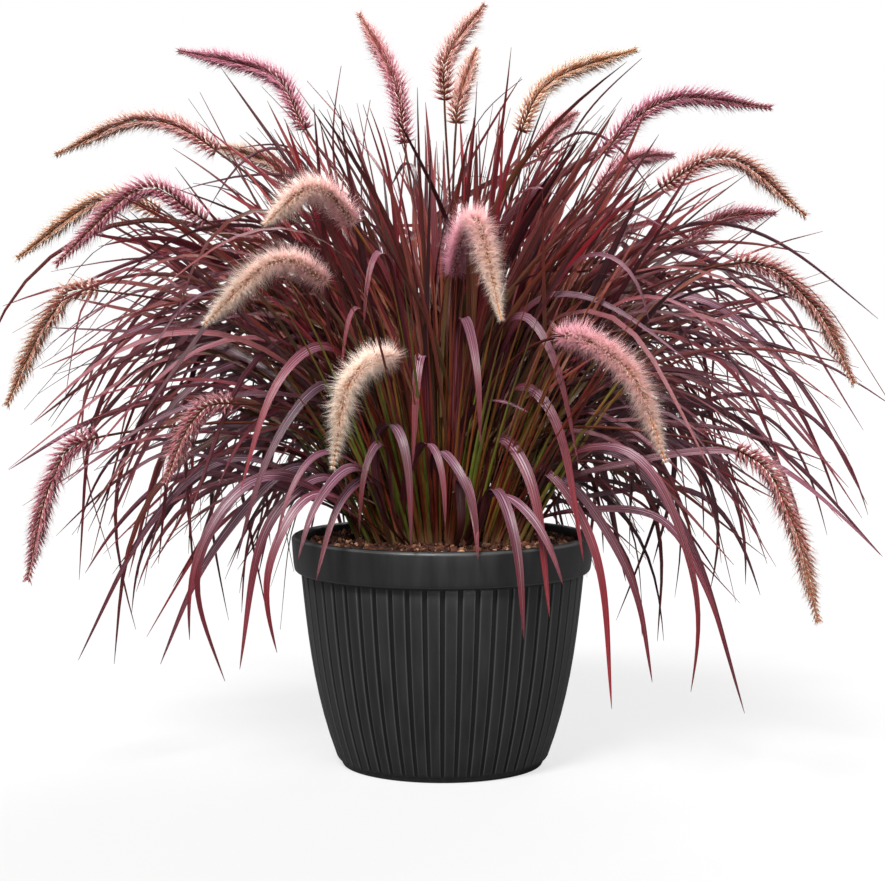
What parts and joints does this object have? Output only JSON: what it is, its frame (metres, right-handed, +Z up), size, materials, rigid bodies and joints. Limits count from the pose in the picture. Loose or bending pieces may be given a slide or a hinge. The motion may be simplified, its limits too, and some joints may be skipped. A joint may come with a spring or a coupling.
{
  "type": "potted fountain grass clump",
  "caption": "Clump of purple fountain grass with arching leaves and bristly flower spikes, in a ribbed round planter filled with soil.",
  "frame": {"origin": "centre of the planter's flat underside, on the ground", "axes": "+Z up, -Y towards the side the picture shows, +X to its right"},
  "size_m": [1.0901, 0.8761, 0.9166],
  "materials": {
    "pot": "moulded charcoal plastic, matte with faint streaks",
    "soil": "loose red-brown bark granules",
    "leaf": "satin purple leaf, green to orange at the base",
    "plume": "soft bristles, rose to tan"
  },
  "bodies": {
    "root": {"pot": "pot", "soil": "soil", "leaf_clump": "leaf", "leaf_blade_01": "leaf", "leaf_blade_02": "leaf", "leaf_blade_03": "leaf", "leaf_blade_04": "leaf", "leaf_blade_05": "leaf", "leaf_blade_06": "leaf", "leaf_blade_07": "leaf", "leaf_blade_08": "leaf", "leaf_blade_09": "leaf", "leaf_blade_10": "leaf", "leaf_blade_11": "leaf", "leaf_blade_12": "leaf", "leaf_blade_13": "leaf", "leaf_blade_14": "leaf", "leaf_blade_15": "leaf", "leaf_blade_16": "leaf", "leaf_blade_17": "leaf", "leaf_blade_18": "leaf", "leaf_blade_19": "leaf", "leaf_blade_20": "leaf", "leaf_blade_21": "leaf", "leaf_blade_22": "leaf", "leaf_blade_23": "leaf", "leaf_blade_24": "leaf", "leaf_blade_25": "leaf", "leaf_blade_26": "leaf", "leaf_blade_27": "leaf", "leaf_blade_28": "leaf", "flower_spike_01": "plume", "flower_spike_02": "plume", "flower_spike_03": "plume", "flower_spike_04": "plume", "flower_spike_05": "plume", "flower_spike_06": "plume", "flower_spike_07": "plume", "flower_spike_08": "plume", "flower_spike_09": "plume", "flower_spike_10": "plume", "flower_spike_11": "plume", "flower_spike_12": "plume", "flower_spike_13": "plume", "flower_spike_14": "plume", "flower_spike_15": "plume", "flower_spike_16": "plume", "flower_spike_17": "plume", "flower_spike_18": "plume", "flower_spike_19": "plume", "flower_spike_20": "plume", "flower_spike_21": "plume", "flower_spike_22": "plume", "flower_spike_23": "plume", "flower_spike_24": "plume", "flower_spike_25": "plume", "flower_spike_26": "plume", "flower_spike_27": "plume", "flower_spike_28": "plume", "flower_spike_29": "plume"}
  },
  "joints": []
}
